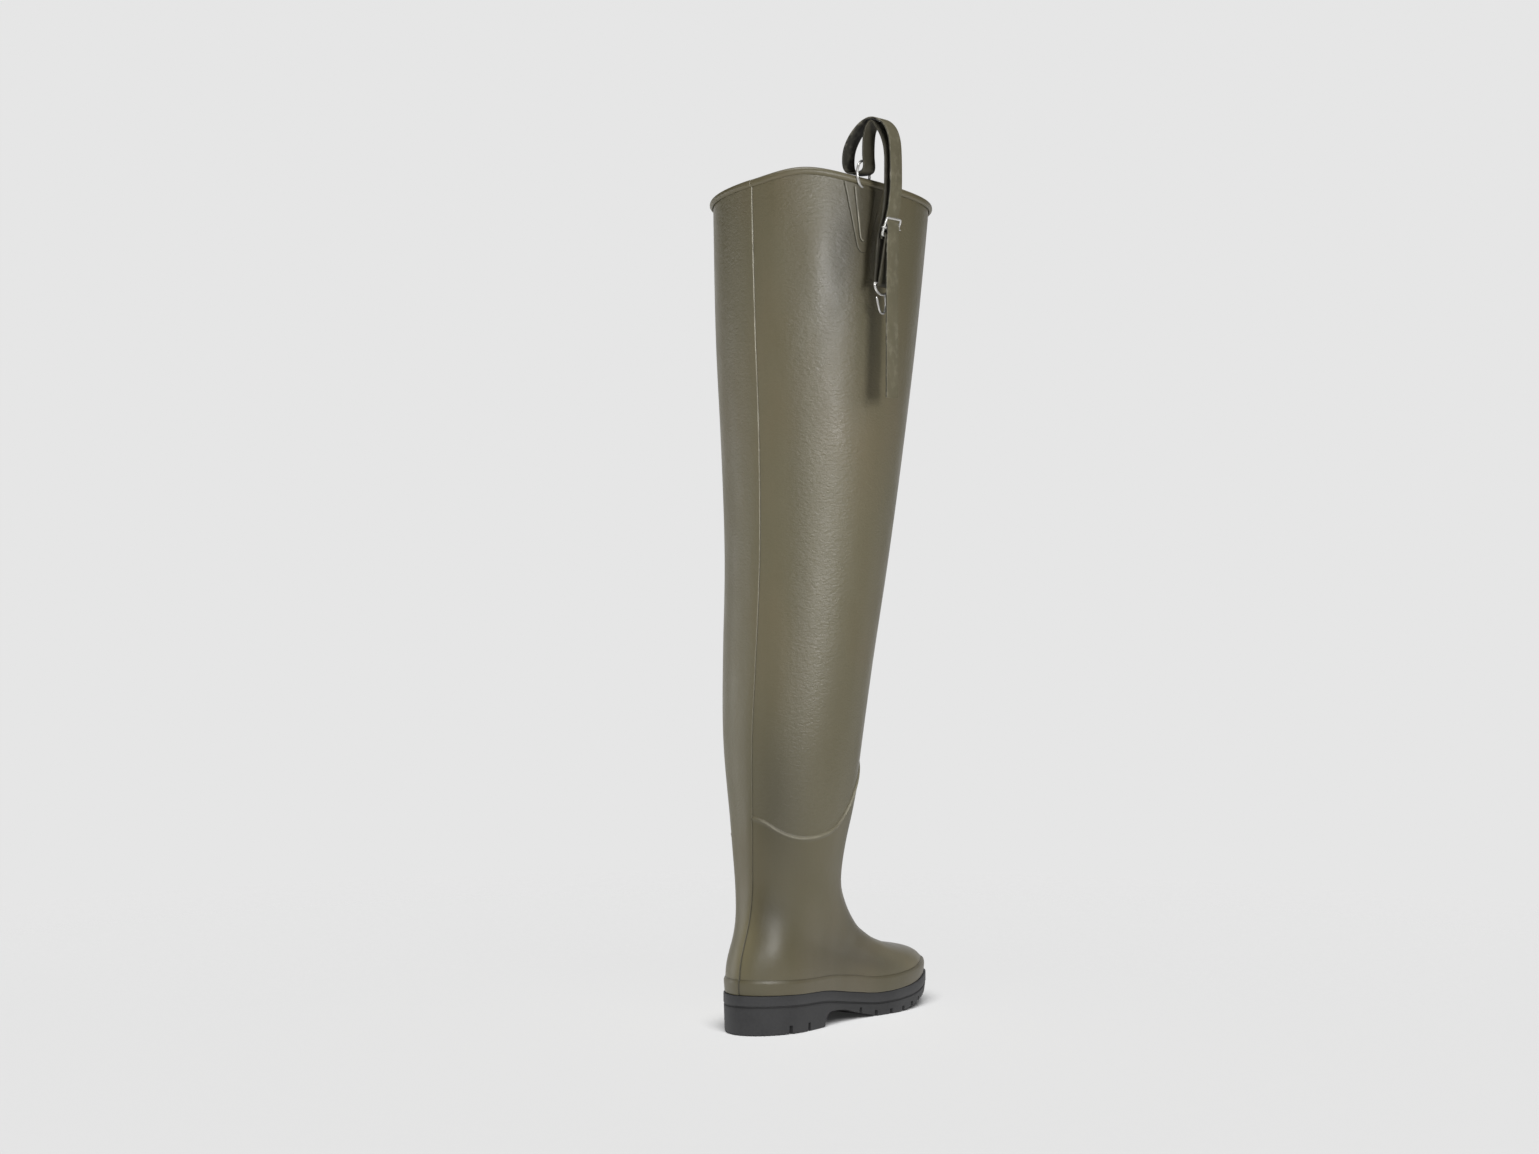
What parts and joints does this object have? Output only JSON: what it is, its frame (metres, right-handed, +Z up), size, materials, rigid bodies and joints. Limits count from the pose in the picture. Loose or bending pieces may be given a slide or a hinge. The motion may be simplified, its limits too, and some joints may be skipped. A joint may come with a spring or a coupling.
{
  "type": "thigh wader boot",
  "caption": "Right thigh-high rubber wader: hollow olive leg and foot on a lugged dark sole, with a looped belt strap, wire buckle and snap hook at the collar.",
  "frame": {"origin": "on the floor, on the heel's tread under the middle of the heel", "axes": "+X towards the toe, -Y towards the outer side of the right foot, +Z up"},
  "size_m": [0.3048, 0.2227, 0.8586],
  "materials": {
    "sole_rubber": "matte, dark grey",
    "blue_knit": "knitted lining, matte",
    "olive_rubber": "satin, fine grain",
    "strap_rubber": "rubbered webbing, satin",
    "steel_wire": "nickel plated wire"
  },
  "bodies": {
    "boot": {"outsole": "sole_rubber", "insole": "blue_knit", "upper": "olive_rubber", "foxing_band": "olive_rubber", "collar_binding": "olive_rubber", "strap_patch": "olive_rubber", "ring_tab": "olive_rubber", "collar_ring": "steel_wire", "strap": "strap_rubber", "buckle": "steel_wire"},
    "hook": {"snap_hook": "steel_wire"}
  },
  "joints": [
    {"name": "hook_swing", "type": "hinge", "parent": "boot", "child": "hook", "pos_m": [0.0211, -0.1188, 0.7032], "axis": [1, 0, 0], "range_deg": [-15, 45]}
  ]
}
